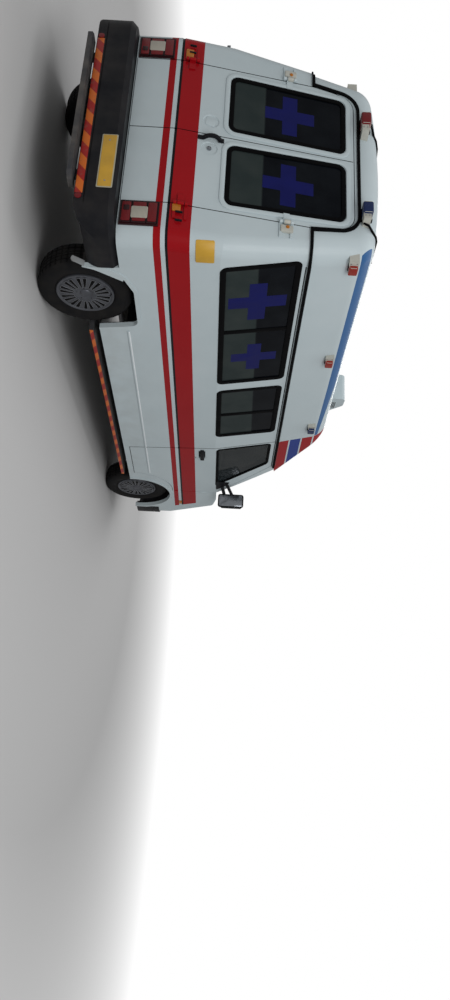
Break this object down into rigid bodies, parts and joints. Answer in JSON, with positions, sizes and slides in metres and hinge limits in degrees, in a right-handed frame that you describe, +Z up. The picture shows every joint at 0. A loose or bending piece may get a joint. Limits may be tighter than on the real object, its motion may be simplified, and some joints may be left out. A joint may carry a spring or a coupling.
{
  "type": "high-roof van ambulance",
  "caption": "High-roof van ambulance with a short sloping bonnet, side windows, twin rear doors, roof lamps, black bumpers and side steps, hinged doors and steered rolling wheels.",
  "frame": {"origin": "on the ground under the middle of the vehicle, the bottom centre of its bounding box", "axes": "+X forward, +Y to the vehicle's left, +Z up"},
  "size_m": [5.424, 2.2794, 2.4925],
  "materials": {
    "black_plastic": "grained charcoal plastic",
    "black_rubber": "black rubber",
    "cast": "cast iron",
    "chassis_black": "black chassis paint",
    "clear_glass": "clear glass",
    "dark_glass": "dark tinted glass",
    "floor_grey": "grey floor pressing",
    "lamp_clear": "clear lamp lens",
    "lamp_mixed": "red and blue lenses in white brackets",
    "lamp_red": "dark red lens with a clear centre",
    "seat_fabric": "dark seat fabric",
    "silver": "silver wheel cover",
    "steel": "plain steel",
    "step_metal": "grey step with taped edge",
    "tyre": "worn road tyre",
    "white_paint": "gloss white paint, dusty"
  },
  "bodies": {
    "body": {"bench": "seat_fabric", "cab_seats": "seat_fabric", "cab_shell": "white_paint", "chassis_frame": "chassis_black", "dashboard": "black_plastic", "drip_moulding": "black_rubber", "engine_block": "cast", "exhaust": "steel", "floor_pan": "floor_grey", "front_axle": "chassis_black", "front_bumper": "black_plastic", "fuel_tank": "chassis_black", "grille": "black_plastic", "headlamps": "lamp_clear", "high_roof": "white_paint", "leaf_springs": "chassis_black", "partition": "floor_grey", "rear_axle": "chassis_black", "rear_bumper": "black_plastic", "rear_step": "step_metal", "roof_lamps": "lamp_mixed", "roof_vent": "white_paint", "side_glass": "dark_glass", "side_panel_left": "white_paint", "side_panel_right": "white_paint", "side_steps": "step_metal", "sliding_door": "white_paint", "stretcher": "steel", "tail_lamps": "lamp_red", "windscreen": "clear_glass"},
    "door_right": {"door_right": "white_paint", "door_glass_right": "clear_glass", "mirror_right": "black_plastic"},
    "door_left": {"door_left": "white_paint", "door_glass_left": "clear_glass", "mirror_left": "black_plastic"},
    "rear_door_right": {"rear_door_right": "white_paint", "rear_glass_right": "dark_glass", "rear_handle": "black_plastic"},
    "rear_door_left": {"rear_door_left": "white_paint", "rear_glass_left": "dark_glass"},
    "bonnet": {"bonnet": "white_paint"},
    "steering_wheel": {"steering_wheel": "black_plastic"},
    "knuckle_right": {"knuckle_right": "chassis_black"},
    "knuckle_left": {"knuckle_left": "chassis_black"},
    "wheel_front_right": {"tyre_front_right": "tyre", "wheel_front_right": "silver"},
    "wheel_front_left": {"tyre_front_left": "tyre", "wheel_front_left": "silver"},
    "wheel_rear_right": {"tyre_rear_right": "tyre", "wheel_rear_right": "silver"},
    "wheel_rear_left": {"tyre_rear_left": "tyre", "wheel_rear_left": "silver"}
  },
  "joints": [
    {"name": "front_door_right_open", "type": "hinge", "parent": "body", "child": "door_right", "pos_m": [1.60476, -0.945, 0.79782], "axis": [0.0302, 0, 0.9995], "range_deg": [0, 65]},
    {"name": "front_door_left_open", "type": "hinge", "parent": "body", "child": "door_left", "pos_m": [1.60476, 0.945, 0.79782], "axis": [-0.0302, 0, -0.9995], "range_deg": [0, 65]},
    {"name": "rear_door_right_open", "type": "hinge", "parent": "body", "child": "rear_door_right", "pos_m": [-2.48586, -0.653, 1.03842], "axis": [0.202, 0, 0.9794], "range_deg": [0, 170]},
    {"name": "rear_door_left_open", "type": "hinge", "parent": "body", "child": "rear_door_left", "pos_m": [-2.48586, 0.653, 1.03842], "axis": [-0.202, 0, -0.9794], "range_deg": [0, 170]},
    {"name": "bonnet_open", "type": "hinge", "parent": "body", "child": "bonnet", "pos_m": [1.91122, 0, 1.20575], "axis": [0, -1, 0], "range_deg": [0, 50]},
    {"name": "steer_right", "type": "hinge", "parent": "body", "child": "knuckle_right", "pos_m": [1.69613, -0.69, 0.34], "axis": [0, 0, 1], "range_deg": [-35, 35]},
    {"name": "steer_left", "type": "hinge", "parent": "body", "child": "knuckle_left", "pos_m": [1.69613, 0.69, 0.34], "axis": [0, 0, 1], "range_deg": [-35, 35]},
    {"name": "steering_wheel_turn", "type": "hinge", "parent": "body", "child": "steering_wheel", "pos_m": [1.21921, -0.42, 1.14962], "axis": [-0.5041, 0, 0.8637], "range_deg": [-490, 490]},
    {"name": "roll_front_right", "type": "hinge", "parent": "knuckle_right", "child": "wheel_front_right", "pos_m": [1.69613, -0.795, 0.34], "axis": [0, 1, 0], "continuous": true},
    {"name": "roll_front_left", "type": "hinge", "parent": "knuckle_left", "child": "wheel_front_left", "pos_m": [1.69613, 0.795, 0.34], "axis": [0, 1, 0], "continuous": true},
    {"name": "roll_rear_right", "type": "hinge", "parent": "body", "child": "wheel_rear_right", "pos_m": [-1.79187, -0.795, 0.34], "axis": [0, 1, 0], "continuous": true},
    {"name": "roll_rear_left", "type": "hinge", "parent": "body", "child": "wheel_rear_left", "pos_m": [-1.79187, 0.795, 0.34], "axis": [0, 1, 0], "continuous": true}
  ],
  "couplings": [
    {"joint": "steer_left", "follows": "steer_right", "ratio": 1},
    {"joint": "steering_wheel_turn", "follows": "steer_right", "ratio": 14}
  ]
}
